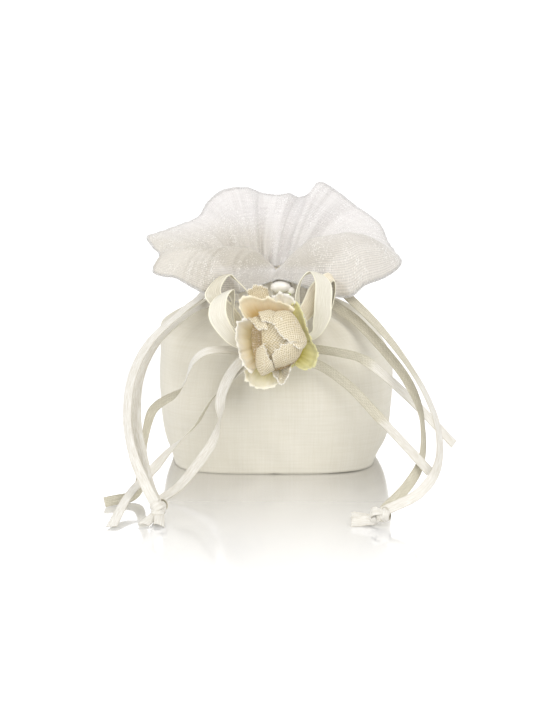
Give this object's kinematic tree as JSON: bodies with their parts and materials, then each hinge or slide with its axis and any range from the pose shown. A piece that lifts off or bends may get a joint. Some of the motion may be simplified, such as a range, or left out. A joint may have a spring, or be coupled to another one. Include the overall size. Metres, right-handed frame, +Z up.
{
  "type": "drawstring gift pouch",
  "caption": "Small lined cloth pouch on a boxed base, drawn in at the neck by ribbon drawstrings, with a flared frill, a ribbon bow and a fabric rose.",
  "frame": {"origin": "middle of the underside of the boxed base, on the surface that the pouch stands on", "axes": "+Z up; -Y to the front, where the rose and the bow are; +X to the viewer's right"},
  "size_m": [0.103, 0.0955, 0.0823],
  "materials": {
    "ivory_cloth": "fine plain weave, matt",
    "lining_cloth": "smooth, matt",
    "card": "matt",
    "sheer_cloth": "sheer organza with a fine sheen",
    "overlock_thread": "overlocked thread",
    "satin_ribbon": "satin",
    "wire": "wire wrapped in floral tape",
    "green_cloth": "sheer, dyed",
    "lace": "fine net",
    "petal_satin": "satin",
    "rose_heart": "matt",
    "pearl": "pearl gloss"
  },
  "bodies": {
    "pouch": {"base_panel": "ivory_cloth", "base_card": "card", "front_panel": "ivory_cloth", "back_panel": "ivory_cloth", "lining": "lining_cloth", "lining_base": "lining_cloth", "neck_casing": "sheer_cloth", "frill_front": "sheer_cloth", "frill_back": "sheer_cloth", "frill_hem_front": "overlock_thread", "frill_hem_back": "overlock_thread", "left_drawstring_loop": "satin_ribbon", "right_drawstring_loop": "satin_ribbon", "bow_knot": "satin_ribbon", "left_front_loop": "satin_ribbon", "left_back_loop": "satin_ribbon", "right_front_loop": "satin_ribbon", "right_back_loop": "satin_ribbon", "left_tail_outer": "satin_ribbon", "left_tail_middle": "satin_ribbon", "left_tail_inner": "satin_ribbon", "right_tail_upper": "satin_ribbon", "right_tail_lower": "satin_ribbon", "pearl_wire": "wire", "large_pearl": "pearl", "small_pearl": "pearl"},
    "left_drawstring": {"left_drawstring_front": "satin_ribbon", "left_drawstring_back": "satin_ribbon", "left_knot": "satin_ribbon", "left_knot_ends": "satin_ribbon"},
    "right_drawstring": {"right_drawstring_front": "satin_ribbon", "right_drawstring_back": "satin_ribbon", "right_knot": "satin_ribbon", "right_knot_ends": "satin_ribbon"},
    "rose": {"rose_stem": "wire", "calyx": "green_cloth", "rose_core": "rose_heart", "lace_petal_1": "lace", "lace_petal_2": "lace", "lace_petal_3": "lace", "lace_petal_4": "lace", "outer_petal_1": "petal_satin", "outer_petal_2": "petal_satin", "outer_petal_3": "petal_satin", "outer_petal_4": "petal_satin", "outer_petal_5": "petal_satin", "upper_sepal": "green_cloth", "lower_sepal": "green_cloth"}
  },
  "joints": [
    {"name": "left_drawstring_pull", "type": "slide", "parent": "pouch", "child": "left_drawstring", "axis": [-1, 0, 0], "range_m": [0, 0.005]},
    {"name": "right_drawstring_pull", "type": "slide", "parent": "pouch", "child": "right_drawstring", "axis": [1, 0, 0], "range_m": [0, 0.005]},
    {"name": "rose_bend", "type": "hinge", "parent": "pouch", "child": "rose", "pos_m": [0.0005, -0.02432, 0.04], "axis": [1, 0, 0], "range_deg": [-10, 15]}
  ]
}
